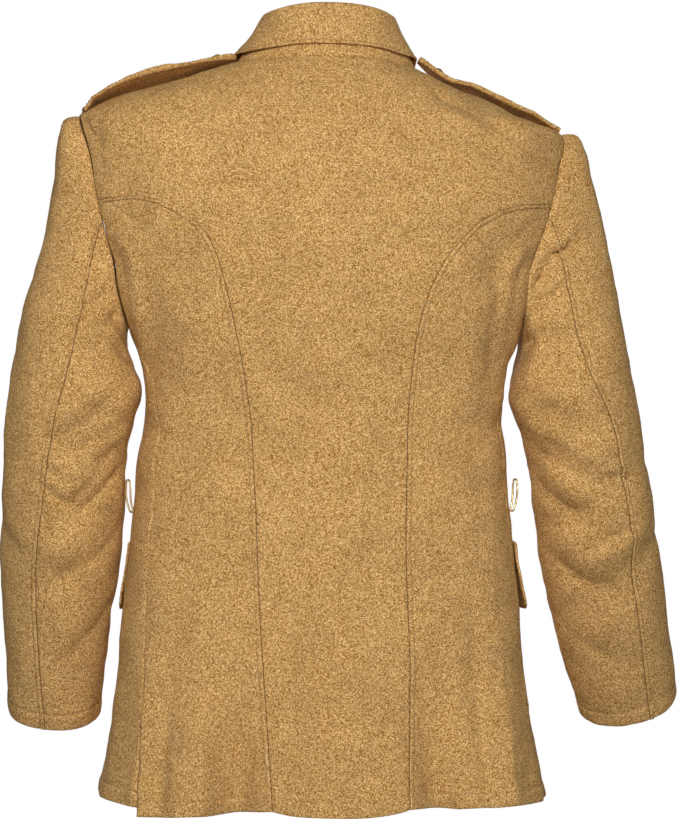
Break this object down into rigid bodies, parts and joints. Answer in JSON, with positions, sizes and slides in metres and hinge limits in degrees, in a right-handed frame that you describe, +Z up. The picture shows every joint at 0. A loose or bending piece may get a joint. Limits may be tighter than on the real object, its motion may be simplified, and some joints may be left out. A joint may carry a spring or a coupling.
{
  "type": "military tunic",
  "caption": "Single-breasted wool tunic with a turn-down collar, shoulder straps, curved back seams, side slits, hip flaps and brass belt hooks, filled out as worn.",
  "frame": {"origin": "middle of the neck opening, at the height of the collar's seam at the back", "axes": "+X towards the wearer's left, +Y towards the wearer's back, +Z up"},
  "size_m": [0.7105, 0.2684, 0.809],
  "materials": {
    "wool": "milled khaki wool, matt, slightly hairy",
    "brass": "plain domed brass, dulled by wear"
  },
  "bodies": {
    "root": {"center_back": "wool", "side_back_left": "wool", "side_back_right": "wool", "front_left": "wool", "front_right": "wool", "top_sleeve_left": "wool", "top_sleeve_right": "wool", "under_sleeve_left": "wool", "under_sleeve_right": "wool", "collar_stand": "wool", "collar_fall": "wool", "shoulder_strap_left": "wool", "shoulder_strap_right": "wool", "pocket_flap_left": "wool", "pocket_flap_right": "wool", "strap_button_left": "brass", "strap_button_right": "brass", "front_button_1": "brass", "front_button_2": "brass", "front_button_3": "brass", "front_button_4": "brass", "front_button_5": "brass", "belt_hook_left": "brass", "belt_hook_right": "brass"}
  },
  "joints": []
}
